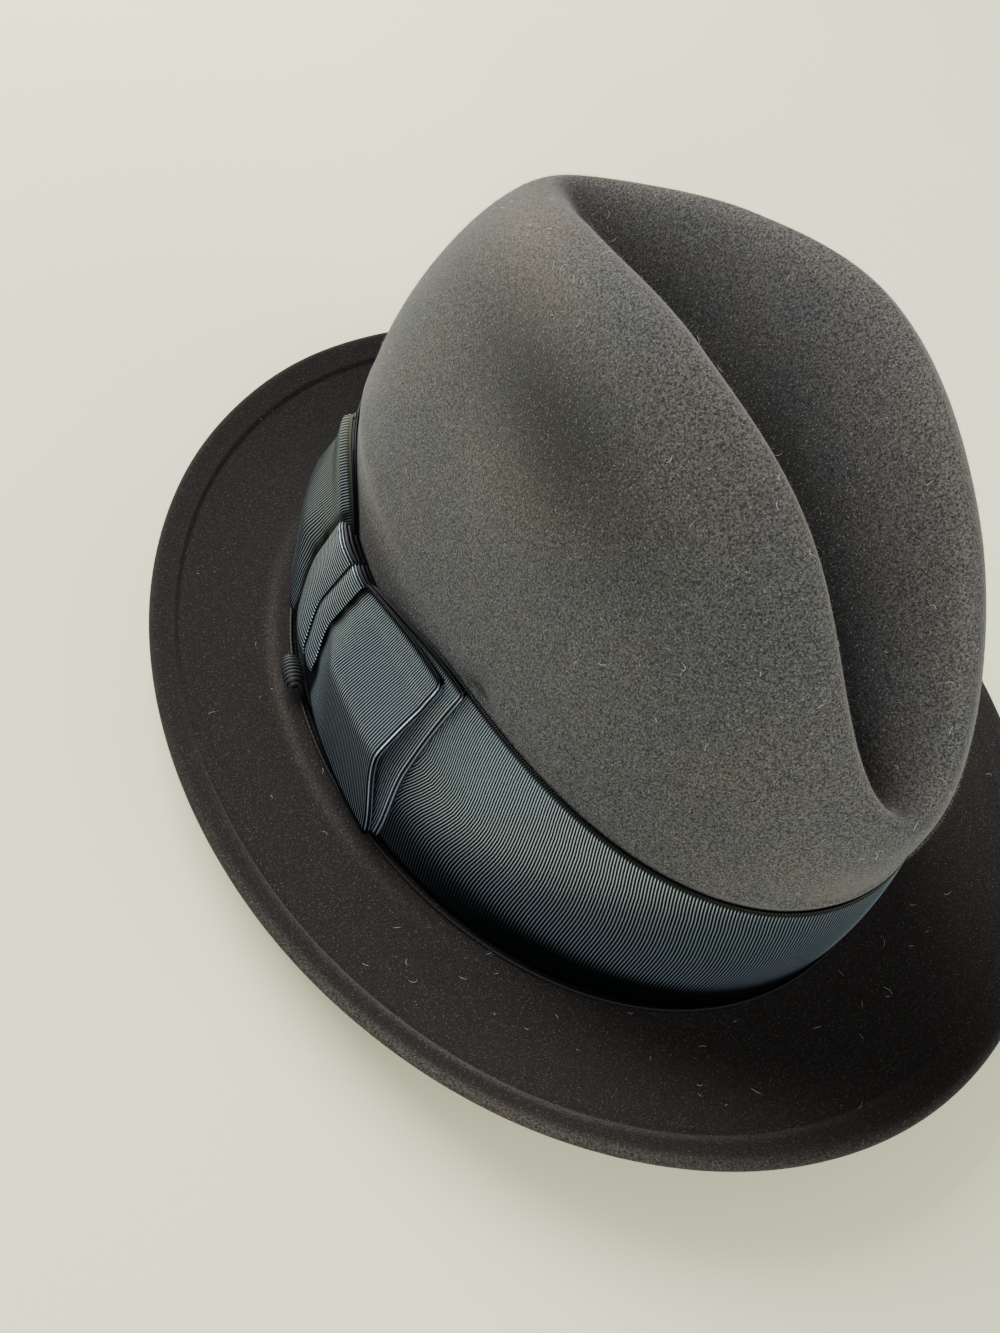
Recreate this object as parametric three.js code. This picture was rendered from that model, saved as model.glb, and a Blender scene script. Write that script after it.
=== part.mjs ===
// A felt fedora: teardrop crown with a centre dent, curled brim with a welted edge, ribbon band with a
// side bow, and a thin cord round the band's foot that ends in a ribbed button.
// Millimetres. +Z is up, the front faces -Y, and +X is the wearer's left, where the bow is.
// The origin lies on the surface the brim rests on, under the middle of the hat's box.

import * as THREE from 'three';

// Felt
const headLength = 206.4;
const headWidth = 172.1;
const crownHeight = 140.7;
const crownLength = 167;
const crownBack = 11.5;
const dentWidth = 52.8;
const dentDepth = 34;
const brimWidth = 45.2;
const brimLift = 20;
const sideLift = 6.8;
const feltWall = 2.2;
const restDepth = 0.8;
const restWidth = 4.5;
const weltWidth = 8;
const weltStep = 0.9;
const pinchDepth = 6;

// Ribbon
const bandWidth = 49.9;
const bandFoot = 0.6;
const ribbonWall = 1;
const clearance = 0.3;

// Bow, placed by its distance in front of or behind the middle of the head
const bowLength = 108;
const bowPlace = -40;
const knotWidth = 24;
const knotSlant = 12;
const waistDepth = 12;
const waistSpread = 22;
const pleatStep = 0.8;
const loopGap = 0.4;
const creaseRise = 2;

// Cord
const cordDiameter = 1.2;
const buttonDiameter = 6.4;
const buttonLength = 10;
const buttonPlace = -29.5;
const buttonRibs = 5;

// Shares of the named sizes at the front, the side and the rear of the hat
const round = {
  lean: { of: bandWidth, front: -0.06, side: 0.535, rear: 0.08 },
  reach: { of: brimWidth, front: 1.08, side: 0.82, rear: 0.9 },
  rise: { of: brimLift, front: 0.7, side: 0.66, rear: 1.08 },
  foot: { of: sideLift, front: 0, side: 1, rear: 0 },
};

// Shares of the named sizes at five even stations along the crown's ridge, front to rear
const ridge = {
  width: { of: dentWidth / 2, shares: [0.8, 0.96, 1, 0.88, 1.12] },
  height: { of: crownHeight, shares: [0.868, 0.966, 1, 0.89, 0.58] },
  depth: { of: dentDepth, shares: [0.12, 0.78, 1, 0.95, 0.42] },
};

// Each wing of the bow: its side of the knot (1 is the rear), its layer, its reach as a share of the
// bow's length, and its lower and upper edge at the knot and at the tip as shares of the band's width
const wings = [
  { name: 'bow_wing_rear_lower', side: 1, layer: 0, reach: 0.58, knot: [0.24, 0.71], tip: [0.06, 0.98] },
  { name: 'bow_wing_rear_upper', side: 1, layer: 1, reach: 0.525, knot: [0.28, 0.69], tip: [0.07, 0.94] },
  { name: 'bow_wing_front_lower', side: -1, layer: 0, reach: 0.405, knot: [0.24, 0.71], tip: [0.06, 0.98] },
  { name: 'bow_wing_front_upper', side: -1, layer: 1, reach: 0.365, knot: [0.28, 0.69], tip: [0.07, 0.95] },
];

// Form of the crown's wall: how far it runs on in line with the band, and how it meets the ridge
const wallFullness = 0.42;
const wallStraightening = 0.5;
const shoulder = 0.2;
const shoulderDroop = THREE.MathUtils.degToRad(20);
const brimCurl = 1.7;
const weltFoot = 1.1;
const valleyShare = 0.82;
const pinchPlace = THREE.MathUtils.degToRad(-28);
const pinchSpread = THREE.MathUtils.degToRad(26);
const tipSlant = 0.12;
const knotFoot = 0.16;
const knotTop = 0.83;

// Facets
const columns = 64;
const brimRows = 5;
const bandRows = 3;
const ribbonRows = 3;
const wallRows = 9;
const dentRows = 7;
const wingSteps = 6;
const wingRows = 5;
const knotRows = 10;
const cordSteps = 60;
const cordSides = 8;

const headA = headWidth / 2;
const headB = headLength / 2;
const footHeight = feltWall - restDepth;
const centreBack = (round.reach.front - round.reach.rear) * brimWidth / 2;

// A front, side and rear value carried smoothly round the head
function roundHead(row, c, s) {
  const ends = s * s * (row.rear + row.front) / 2 + s * (row.rear - row.front) / 2;
  return row.of * (row.side * c * c + ends);
}

// A smooth curve through even stations, with s from -1 at the front to 1 at the rear
function alongRidge(row, s) {
  const v = row.shares;
  const x = (s + 1) / 2 * (v.length - 1);
  const i = Math.min(Math.floor(x), v.length - 2);
  const t = x - i;
  const before = i > 0 ? v[i - 1] : 2 * v[0] - v[1];
  const after = i < v.length - 2 ? v[i + 2] : 2 * v[i + 1] - v[i];
  const line = 2 * v[i] + (v[i + 1] - before) * t;
  const bend = (2 * before - 5 * v[i] + 4 * v[i + 1] - after) * t * t;
  const twist = (3 * v[i] - before - 3 * v[i + 1] + after) * t ** 3;
  return row.of * (line + bend + twist) / 2;
}

// What the hat measures in the direction phi, with 0 at the wearer's left and a quarter turn at the rear
function direction(phi) {
  const c = Math.cos(phi);
  const s = Math.sin(phi);
  const out = new THREE.Vector3(c / headA, s / headB, 0).normalize();
  const foot = new THREE.Vector3(headA * c, headB * s, footHeight + roundHead(round.foot, c, s));
  const lean = roundHead(round.lean, c, s);
  const rise = Math.sqrt(bandWidth ** 2 - lean ** 2);
  const up = out.clone().multiplyScalar(-lean).setZ(rise).divideScalar(bandWidth);
  const off = out.clone().multiplyScalar(rise).setZ(lean).divideScalar(bandWidth);
  const steeper = lean * wallStraightening;
  const steep = out.clone().multiplyScalar(-steeper).setZ(Math.sqrt(bandWidth ** 2 - steeper ** 2)).normalize();
  return { c, s, out, foot, up, off, steep };
}

// The directions of every column of facets, from the front round by the wearer's left
function headDirections() {
  return Array.from({ length: columns }, (_, j) => direction(2 * Math.PI * j / columns - Math.PI / 2));
}

// A point of the brim's top, with q from 0 at the crown to 1 at the edge
function brimPoint(d, q) {
  const halfLength = headB + (round.reach.front + round.reach.rear) * brimWidth / 2;
  const x = (headA + round.reach.side * brimWidth) * d.c;
  const y = halfLength * d.s - centreBack;
  const z = footHeight + roundHead(round.rise, d.c, d.s);
  const point = new THREE.Vector3(x, y, 0).sub(d.foot).multiplyScalar(q).add(d.foot);
  return point.setZ(d.foot.z + (z - d.foot.z) * q ** brimCurl);
}

// A point at a share of the band's width up the crown, lifted off the felt
function bandPoint(d, share, lift) {
  return d.foot.clone().addScaledVector(d.up, share * bandWidth).addScaledVector(d.off, lift);
}

// A point of the ridge that runs round the dent
function ridgePoint(d) {
  const x = alongRidge(ridge.width, d.s) * d.c;
  return new THREE.Vector3(x, crownBack + crownLength / 2 * d.s, alongRidge(ridge.height, d.s));
}

// A point of the crown's wall above the band, with t from 0 at the band to 1 at the ridge
function wallPoint(d, t) {
  const low = bandPoint(d, 1, 0);
  const high = ridgePoint(d);
  const span = low.distanceTo(high);
  const lowHandle = low.clone().addScaledVector(d.steep, span * wallFullness);
  const away = new THREE.Vector3(d.c, d.s, 0).multiplyScalar(Math.cos(shoulderDroop));
  away.z = -Math.sin(shoulderDroop);
  const highHandle = high.clone().addScaledVector(away, span * shoulder);
  const point = new THREE.CubicBezierCurve3(low, lowHandle, highHandle, high).getPoint(t);
  const place = Math.atan2(d.s, Math.abs(d.c));
  const pinch = Math.exp(-(((place - pinchPlace) / pinchSpread) ** 2)) * Math.sin(Math.PI * t) ** 2;
  return point.addScaledVector(d.out, -pinch * pinchDepth);
}

// A point of the dent, with t from 0 at the ridge to 1 in the valley
function dentPoint(d, t) {
  const edge = ridgePoint(d);
  const valleyY = crownBack + valleyShare * crownLength / 2 * d.s;
  const fall = alongRidge(ridge.depth, d.s) * (1 - Math.cos(Math.PI * t)) / 2;
  return new THREE.Vector3(edge.x * (1 - t), edge.y + (valleyY - edge.y) * t, edge.z - fall);
}

// A mesh from points and the triangles that join them, with every face turned outward
function solid(name, points, faces, colour, roughness) {
  let volume = 0;
  for (const [a, b, c] of faces) {
    volume += points[a].dot(points[b].clone().cross(points[c]));
  }
  const turned = volume > 0 ? faces : faces.map(([a, b, c]) => [a, c, b]);
  const geometry = new THREE.BufferGeometry();
  geometry.setAttribute('position', new THREE.Float32BufferAttribute(points.flatMap((p) => p.toArray()), 3));
  geometry.setIndex(turned.flat());
  const material = new THREE.MeshStandardMaterial({ color: colour, roughness, metalness: 0 });
  const mesh = new THREE.Mesh(geometry, material);
  mesh.name = name;
  return mesh;
}

// Two triangles for a patch of four corners
function patch(a, b, c, d) {
  return [[a, b, c], [a, c, d]];
}

// The outer face of the felt as rows of rings, from the brim's edge up to the valley
function feltRings() {
  const rings = [];
  const weltShare = weltWidth / brimWidth;
  const restShare = restWidth / brimWidth;
  const ring = (place, raised = 0) => rings.push({ place, raised });
  ring((d) => brimPoint(d, 1), weltStep);
  ring((d) => brimPoint(d, 1 - weltShare), weltStep);
  for (let i = 0; i < brimRows; i += 1) {
    const q = THREE.MathUtils.lerp(1 - weltShare * weltFoot, restShare, i / (brimRows - 1));
    ring((d) => brimPoint(d, q));
  }
  rings.push({ place: (d) => d.foot.clone(), raised: 0, isFoot: true });
  for (let i = 1; i <= bandRows; i += 1) {
    ring((d) => bandPoint(d, i / bandRows, 0));
  }
  for (let i = 1; i <= wallRows; i += 1) {
    ring((d) => wallPoint(d, i / wallRows));
  }
  for (let i = 1; i <= dentRows; i += 1) {
    ring((d) => dentPoint(d, i / dentRows));
  }
  return rings;
}

// Crown and brim in one felt wall, its inner face set back from the outer one by the felt's thickness
function feltBody() {
  const rings = feltRings();
  const directions = headDirections();
  const outer = rings.map((ring) => directions.map((d) => ring.place(d)));
  const last = rings.length - 1;
  const inner = outer.map((row, i) => row.map((point, j) => {
    const after = outer[i][(j + 1) % columns];
    const before = outer[i][(j + columns - 1) % columns];
    const above = outer[Math.min(i + 1, last)][j];
    const below = outer[Math.max(i - 1, 0)][j];
    const facing = after.clone().sub(before).cross(above.clone().sub(below)).normalize();
    if (i === last) {
      facing.set(0, 0, 1);
    }
    const inside = point.clone().addScaledVector(rings[i].isFoot ? directions[j].out : facing, -feltWall);
    return inside.setZ(Math.max(rings[i].isFoot ? point.z - feltWall : inside.z, 0));
  }));
  outer.forEach((row, i) => row.forEach((point, j) => {
    point.z += rings[i].raised;
    if (i === 0) {
      point.addScaledVector(directions[j].out, -weltStep / 2);
      inner[i][j].addScaledVector(directions[j].out, -feltWall / 4);
    }
  }));
  const rim = outer[0].map((point, j) => point.clone().lerp(inner[0][j], 0.5)
    .addScaledVector(directions[j].out, feltWall / 2));

  const rows = [...[...outer].reverse(), rim, ...inner];
  const points = rows.flat();
  const index = (row, j) => {
    const column = j % columns;
    const folded = row === 0 || row === rows.length - 1;
    return row * columns + (folded && column > columns / 2 ? columns - column : column);
  };
  const faces = [];
  for (let row = 0; row < rows.length - 1; row += 1) {
    for (let j = 0; j < columns; j += 1) {
      faces.push(...patch(index(row, j), index(row, j + 1), index(row + 1, j + 1), index(row + 1, j)));
    }
  }
  return solid('felt_body', points, faces, 0x4b4740, 0.95);
}

// A closed wall between two sheets of points with like rows, open round its border or closed in a ring
function wall(name, front, back, ring, colour, roughness) {
  const rows = front.length;
  const width = front[0].length;
  const points = [...front.flat(), ...back.flat()];
  const at = (side, i, j) => side * rows * width + i * width + (j % width);
  const faces = [];
  const steps = ring ? width : width - 1;
  for (let i = 0; i < rows - 1; i += 1) {
    for (let j = 0; j < steps; j += 1) {
      faces.push(...patch(at(0, i, j), at(0, i, j + 1), at(0, i + 1, j + 1), at(0, i + 1, j)));
      faces.push(...patch(at(1, i + 1, j), at(1, i + 1, j + 1), at(1, i, j + 1), at(1, i, j)));
    }
    if (!ring) {
      faces.push(...patch(at(0, i, 0), at(0, i + 1, 0), at(1, i + 1, 0), at(1, i, 0)));
      faces.push(...patch(at(0, i + 1, steps), at(0, i, steps), at(1, i, steps), at(1, i + 1, steps)));
    }
  }
  for (let j = 0; j < steps; j += 1) {
    faces.push(...patch(at(0, 0, j + 1), at(0, 0, j), at(1, 0, j), at(1, 0, j + 1)));
    faces.push(...patch(at(0, rows - 1, j), at(0, rows - 1, j + 1), at(1, rows - 1, j + 1), at(1, rows - 1, j)));
  }
  return solid(name, points, faces, colour, roughness);
}

const bandColour = 0x2f3a3c;
const ribbonRoughness = 0.5;

// Share of the band's width up to which the ribbon reaches: its top edge dips where the knot draws it in
function ribbonTop(d) {
  const away = (headB * d.s - bowPlace) / waistSpread;
  return d.c > 0 ? 1 - waistDepth / bandWidth * Math.exp(-(away ** 2)) : 1;
}

// The ribbon that goes all round the crown
function ribbonBand() {
  const sheet = (lift) => Array.from({ length: ribbonRows + 1 }, (_, i) => headDirections().map((d) => (
    bandPoint(d, THREE.MathUtils.lerp(bandFoot / bandWidth, ribbonTop(d), i / ribbonRows), lift)
  )));
  return wall('ribbon_band', sheet(clearance + ribbonWall), sheet(clearance), true, bandColour, ribbonRoughness);
}

// A point over the band, at a distance along the side of the hat, a share of the band's width and a lift
function sidePoint(y, share, lift) {
  return bandPoint(direction(Math.asin(y / headB)), share, lift);
}

const bandLift = clearance + ribbonWall;
const loopHeight = 2 * ribbonWall + loopGap;
const knotLift = bandLift + 2 * (loopHeight + clearance) + clearance;

// Where the knot's middle lies at a share of the band's width: it slants back below the middle
function knotMiddle(share) {
  return bowPlace + knotSlant * (1 - THREE.MathUtils.smoothstep(share, 0.05, 0.45));
}

// One wing: the ribbon leaves the knot, lies along the band, folds back over itself and returns
function bowWing({ name, side, layer, reach, knot, tip }) {
  const base = bandLift + clearance + layer * (loopHeight + clearance);
  const turns = 4;
  const route = [];
  for (let i = 0; i <= wingSteps; i += 1) {
    route.push({ t: i / wingSteps, leg: -1 });
  }
  for (let i = 1; i < turns; i += 1) {
    route.push({ t: 1, leg: -Math.cos(Math.PI * i / turns) });
  }
  for (let i = wingSteps; i >= 0; i -= 1) {
    route.push({ t: i / wingSteps, leg: 1 });
  }
  const loopRadius = (loopGap + ribbonWall) / 2;
  const sheet = (offset) => route.map(({ t, leg }) => Array.from({ length: wingRows + 1 }, (_, k) => {
    const low = THREE.MathUtils.lerp(knot[0], tip[0], t);
    const high = THREE.MathUtils.lerp(knot[1], tip[1], t);
    const share = THREE.MathUtils.lerp(low, high, k / wingRows);
    const radius = loopRadius + offset;
    const turn = Math.acos(THREE.MathUtils.clamp(-leg, -1, 1));
    const start = knotMiddle(share) + side * clearance;
    const end = bowPlace + side * (bowLength * reach - loopRadius) + (1 - share) * bandWidth * tipSlant;
    const along = start + (end - start) * t + side * radius * Math.sin(turn);
    const free = Math.max(0, (Math.abs(along - start) - knotWidth / 2 - clearance) / (bowLength * reach));
    const crease = creaseRise * layer * Math.exp(-(((share - 0.42) / 0.16) ** 2)) * Math.sin(Math.PI * free);
    const lift = base + ribbonWall / 2 + loopRadius - radius * Math.cos(turn);
    return sidePoint(along, share, lift + crease);
  }));
  return wall(name, sheet(ribbonWall / 2), sheet(-ribbonWall / 2), false, bandColour, ribbonRoughness);
}

// The knot: a pleated strip laid across the wings, slanting back towards the band's foot
function bowKnot() {
  const across = [-1, -0.8, -0.36, -0.32, 0.3, 0.34, 0.9, 1];
  const pleats = [0, 0.4, 1, 0, 1, 0, 1, 0];
  const sheet = (lift) => Array.from({ length: knotRows + 1 }, (_, i) => {
    const t = i / knotRows;
    const share = THREE.MathUtils.lerp(knotFoot, knotTop, t);
    const half = knotWidth / 2 * THREE.MathUtils.lerp(0.7, 1, t);
    const tuck = Math.min(1, 14 * t, 14 * (1 - t));
    return across.map((w, k) => sidePoint(
      knotMiddle(share) + w * half,
      share,
      THREE.MathUtils.lerp(bandLift + clearance, knotLift, tuck) + pleats[k] * pleatStep + lift,
    ));
  });
  return wall('bow_knot', sheet(ribbonWall), sheet(0), false, bandColour, ribbonRoughness);
}

// Where the cord's middle lies round the band's foot
function cordPoint(phi, away) {
  const d = direction(phi);
  return d.foot.clone().addScaledVector(d.out, bandLift + clearance + away)
    .setZ(d.foot.z + clearance + away);
}

// The thin cord, which leaves one end of the button and comes back to the other
function windCord() {
  const halfTurn = (buttonLength / 2 + clearance) / headB;
  const start = Math.asin(buttonPlace / headB) + halfTurn;
  const length = 2 * Math.PI - 2 * halfTurn;
  const points = Array.from({ length: cordSteps + 1 }, (_, i) => (
    cordPoint(start + length * i / cordSteps, cordDiameter / 2)));
  const curve = new THREE.CatmullRomCurve3(points);
  const section = new THREE.Shape().absarc(0, 0, cordDiameter / 2, 0, 2 * Math.PI, true);
  const settings = { steps: cordSteps, curveSegments: cordSides / 2, extrudePath: curve, bevelEnabled: false };
  const geometry = new THREE.ExtrudeGeometry(section, settings);
  const mesh = new THREE.Mesh(geometry, new THREE.MeshStandardMaterial({ color: 0x1b1f20, roughness: 0.8 }));
  mesh.name = 'wind_cord';
  return mesh;
}

// The button: a ribbed olive that lies along the band's foot
function cordButton() {
  const profile = [new THREE.Vector2(0, -buttonLength / 2)];
  const stations = buttonRibs * 2;
  for (let i = 0; i <= stations; i += 1) {
    const x = -0.9 + 1.8 * i / stations;
    const rib = i % 2 ? 1 : 0.94;
    profile.push(new THREE.Vector2(buttonDiameter / 2 * Math.sqrt(1 - x * x * 0.9) * rib, x * buttonLength / 2));
  }
  profile.push(new THREE.Vector2(0, buttonLength / 2));
  const geometry = new THREE.LatheGeometry(profile, 14);
  const mesh = new THREE.Mesh(geometry, new THREE.MeshStandardMaterial({ color: 0x23282a, roughness: 0.7 }));
  mesh.name = 'cord_button';
  const phi = Math.asin(buttonPlace / headB);
  const d = direction(phi);
  mesh.position.copy(cordPoint(phi, buttonDiameter / 2));
  mesh.quaternion.setFromUnitVectors(new THREE.Vector3(0, 1, 0), new THREE.Vector3(-d.out.y, d.out.x, 0));
  return mesh;
}

const group = new THREE.Group();
group.add(feltBody(), ribbonBand(), ...wings.map(bowWing), bowKnot(), windCord(), cordButton());
group.position.y = centreBack;

export default group;
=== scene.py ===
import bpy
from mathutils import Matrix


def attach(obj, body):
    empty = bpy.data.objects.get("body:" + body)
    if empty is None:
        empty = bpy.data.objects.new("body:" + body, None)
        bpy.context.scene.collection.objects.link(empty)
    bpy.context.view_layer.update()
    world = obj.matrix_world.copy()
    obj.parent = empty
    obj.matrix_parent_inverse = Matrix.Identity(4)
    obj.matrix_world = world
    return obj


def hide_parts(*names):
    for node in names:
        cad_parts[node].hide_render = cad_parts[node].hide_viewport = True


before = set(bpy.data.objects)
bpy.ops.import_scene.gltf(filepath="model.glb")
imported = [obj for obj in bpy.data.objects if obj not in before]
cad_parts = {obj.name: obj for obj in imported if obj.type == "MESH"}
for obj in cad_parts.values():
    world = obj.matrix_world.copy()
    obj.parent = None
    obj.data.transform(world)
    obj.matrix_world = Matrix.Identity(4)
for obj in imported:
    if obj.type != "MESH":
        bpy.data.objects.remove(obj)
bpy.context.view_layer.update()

from types import SimpleNamespace

import bpy
import numpy as np
from bpy.props import FloatProperty, FloatVectorProperty, IntProperty, PointerProperty
from mathutils import Matrix, Vector

bl_info = {
    "name": "Felt fedora",
    "version": (1, 0, 0),
    "blender": (4, 5, 0),
    "location": "3D View > Sidebar > Hat",
    "description": "Dresses the frame of a felt fedora in felt, ribbed ribbon, a bow and a thin cord",
    "category": "Object",
}

MM = 0.001

# Shares of the sizes at the front, the side and the rear of the hat
LEAN = (-0.06, 0.535, 0.08)
REACH = (1.08, 0.82, 0.9)
RISE = (0.7, 0.66, 1.08)
FOOT = (0.0, 1.0, 0.0)

# Shares of the sizes at five even stations along the crown's ridge, front to rear
RIDGE_WIDTH = (0.8, 0.96, 1.0, 0.88, 1.12)
RIDGE_HEIGHT = (0.868, 0.966, 1.0, 0.89, 0.58)
DENT_DEPTH = (0.12, 0.78, 1.0, 0.95, 0.42)

# Each wing of the bow: side of the knot (1 is the rear), layer, reach as a share of the bow's length,
# and lower and upper edge at the knot and at the tip as shares of the band's width
WINGS = {
    "bow_wing_rear_lower": (1, 0, 0.58, (0.18, 0.745), (0.03, 0.99)),
    "bow_wing_rear_upper": (1, 1, 0.525, (0.2, 0.745), (0.03, 0.945)),
    "bow_wing_front_lower": (-1, 0, 0.405, (0.18, 0.745), (0.03, 0.99)),
    "bow_wing_front_upper": (-1, 1, 0.4, (0.2, 0.745), (0.03, 0.985)),
}

# Pleats of the knot: front and rear edge as shares of half the knot's width, step over the wings in mm
# and belly in mm
PLEATS = (
    (0.12, 1.0, 0.0, 0.55),
    (-0.86, 0.3, 0.7, 0.75),
    (-1.0, -0.5, 0.35, 0.3),
)

# Facets for each rib of the ribbon
RIB_FACETS = 6

# Stations across the band's width, closer together at its edges
BAND_STATIONS = (0, 0.012, 0.03, 0.1, 0.18, 0.26, 0.34, 0.42, 0.5, 0.58, 0.66, 0.74, 0.82, 0.9,
                 0.965, 0.985, 1.0)

# Rows of faces down the felt: folded edge, its step, brim, brim's foot, under the band, wall and dent
EDGE_ROWS = 12
STEP_ROWS = 10
BRIM_ROWS = 30
FOOT_ROWS = 5
BAND_ROWS = 11
WALL_ROWS = 57
DENT_ROWS = 39

# Nap: count of spikes, shortest, longest and radius in mm
NAP = (39000, 0.35, 0.95, 0.022)

# Fibres that lie on the felt: piece, colour, count, shortest, longest and radius in mm, and segments
FIBRES = (
    ("felt_specks", "fleck", 11000, 0.12, 0.42, 0.024, 1),
    ("stray_hairs", "lint", 230, 0.6, 2.6, 0.029, 12),
)

# Lights: name, place and target in metres, width in metres, power in watts and tint
LIGHTS = (
    ("window", (0.2, -1.35, 1.0), (0, 0, 0.05), 1.2, 64, (1.0, 0.99, 0.95)),
    ("room", (1.0, 1.05, 0.62), (0, 0, 0.05), 0.8, 15, (0.94, 0.99, 1.0)),
    ("side", (-0.6, 1.15, 0.36), (0, 0, 0.06), 0.7, 13, (0.97, 1.0, 0.97)),
)


def size(name, description, default, minimum=0.0):
    """A length in metres that a user can change. A place may lie below zero."""
    return FloatProperty(name=name, description=description, default=default, min=minimum,
                         unit="LENGTH", precision=5)


def share(name, description, default):
    """A plain factor that a user can change."""
    return FloatProperty(name=name, description=description, default=default)


def colour(name, description, default):
    """A colour that a user can change."""
    return FloatVectorProperty(name=name, description=description, default=default, size=3,
                               subtype="COLOR", min=0.0, max=1.0)


class FeltSizes(bpy.types.PropertyGroup):
    """Sizes of the crown and the brim."""
    head_length: size("Head length", "Crown's outside length at the brim", 206.4 * MM)
    head_width: size("Head width", "Crown's outside width at the brim", 172.1 * MM)
    crown_height: size("Crown height", "Ridge's greatest height", 140.7 * MM)
    crown_length: size("Crown length", "Length of the ridge's ring", 167 * MM)
    crown_back: size("Crown back", "How far the ridge's middle lies behind the head's", 11.5 * MM)
    dent_width: size("Dent width", "Distance between the two ridges", 52.8 * MM)
    dent_depth: size("Dent depth", "Depth of the valley under the ridges", 34 * MM)
    brim_width: size("Brim width", "Width that the brim's shares follow", 45.2 * MM)
    brim_lift: size("Brim lift", "Height that the edge's shares follow", 20 * MM)
    side_lift: size("Side lift", "Rise of the brim's inner edge at the sides", 6.8 * MM)
    wall: size("Wall", "Thickness of the felt", 2.2 * MM)
    rest_depth: size("Rest depth", "How far the felt is pressed flat where it rests", 0.8 * MM)
    welt_width: size("Welt width", "Width of the folded edge", 6.2 * MM)
    welt_step: size("Welt step", "Height of the folded edge over the brim", 0.55 * MM)
    pinch_depth: size("Pinch depth", "Depth of the pinch on each side", 6 * MM)
    fullness: share("Fullness", "How far the wall runs on above the band", 0.42)
    straightening: share("Straightening", "Share of the band's lean that the wall keeps", 0.5)
    shoulder: share("Shoulder", "Roundness of the wall under the ridge", 0.2)
    columns: IntProperty(name="Columns", description="Facets round the hat", default=360, min=16)


class RibbonSizes(bpy.types.PropertyGroup):
    """Sizes of the ribbon, the bow and the cord."""
    band_width: size("Band width", "Width of the ribbon", 49.9 * MM)
    band_foot: size("Band foot", "Gap between the ribbon and the brim", 0.6 * MM)
    clearance: size("Clearance", "Gap between touching pieces", 0.3 * MM)
    wall: size("Wall", "Ribbon's thickness without its ribs", 0.42 * MM)
    rib_pitch: size("Rib pitch", "Distance from rib to rib", 0.85 * MM)
    rib_height: size("Rib height", "Height of a rib over its groove", 0.24 * MM)
    waist_depth: size("Waist depth", "How far the ribbon's top edge dips at the knot", 12 * MM)
    waist_spread: size("Waist spread", "How far along the ribbon the dip runs out", 22 * MM)
    bow_length: size("Bow length", "Length of the bow from tip to tip", 108 * MM)
    bow_place: size("Bow place", "Knot's place behind the head's middle", -40 * MM, -1.0)
    knot_width: size("Knot width", "Width of the knot at its top", 24 * MM)
    knot_slant: size("Knot slant", "How far the knot's foot lies behind its top", 12 * MM)
    knot_foot: share("Knot foot", "Knot's lower end as a share of the ribbon's width", 0.1)
    knot_top: share("Knot top", "Knot's upper end as a share of the ribbon's width", 0.78)
    loop_gap: size("Loop gap", "Widest gap between the layers of a loop", 0.9 * MM)
    crease_rise: size("Crease rise", "Height of the soft crease in the upper wings", 4.2 * MM)
    crease_place: share("Crease place", "Crease's place as a share of the ribbon's width", 0.46)
    cord_diameter: size("Cord diameter", "Diameter of the cord", 1.2 * MM)
    button_diameter: size("Button diameter", "Diameter of the cord's button", 5.9 * MM)
    button_length: size("Button length", "Length of the cord's button", 11 * MM)
    button_place: size("Button place", "Button's place behind the head's middle", -25.6 * MM, -1.0)


class HatColours(bpy.types.PropertyGroup):
    """Colours of the felt, the ribbon and the cord."""
    felt: colour("Felt", "Cool patches of the felt", (0.080, 0.084, 0.087))
    felt_warm: colour("Felt warm", "Warm patches of the felt", (0.099, 0.091, 0.085))
    # felt_dark paints the brim darker than the crown, a painted shade, and a deeper copy of it paints the
    # shade in the hollows.
    felt_dark: colour("Felt dark", "Brim and hollows of the felt", (0.0205, 0.0172, 0.0158))
    # felt_pale paints wear on the brim's edge and a painted highlight on the ridges and the front-left flank.
    felt_pale: colour("Felt pale", "Worn and brushed felt", (0.205, 0.182, 0.152))
    fleck: colour("Fleck", "Pale fibres in the felt", (0.33, 0.325, 0.31))
    # ribbon paints a highlight on the ribs' crests, and also tints their metallic reflection; ribbon_dark
    # paints shade in the grooves.
    ribbon: colour("Ribbon", "Crests of the ribbon's ribs", (0.35, 0.435, 0.51))
    ribbon_dark: colour("Ribbon dark", "Grooves between the ribs", (0.0012, 0.0018, 0.0020))
    cord: colour("Cord", "Thread of the cord", (0.011, 0.0115, 0.012))
    lint: colour("Lint", "Stray pale hairs", (0.55, 0.53, 0.49))
    nap: colour("Nap", "Short hairs that stand up from the felt", (0.13, 0.12, 0.105))
    floor: colour("Floor", "The pale floor", (0.96, 0.95, 0.64))


# Measures that several pieces share

def felt_sizes():
    return bpy.context.scene.hat_felt


def ribbon_sizes():
    return bpy.context.scene.hat_ribbon


def colours():
    return bpy.context.scene.hat_colours


def centre_back():
    """How far the head's middle lies behind the middle of the hat's box."""
    return (REACH[0] - REACH[2]) * felt_sizes().brim_width / 2


def unit(v):
    """Vectors scaled to length one."""
    return v / np.maximum(np.linalg.norm(v, axis=-1, keepdims=True), 1e-12)


def vectors(x, y, z):
    """Three arrays of coordinates as one array of points."""
    return np.stack(np.broadcast_arrays(x, y, z), axis=-1).astype(float)


def round_head(row, c, s):
    """Front, side and rear value carried round: side times cos squared, the ends as sine harmonics."""
    front, side, rear = row
    return side * c * c + s * s * (rear + front) / 2 + s * (rear - front) / 2


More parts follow.
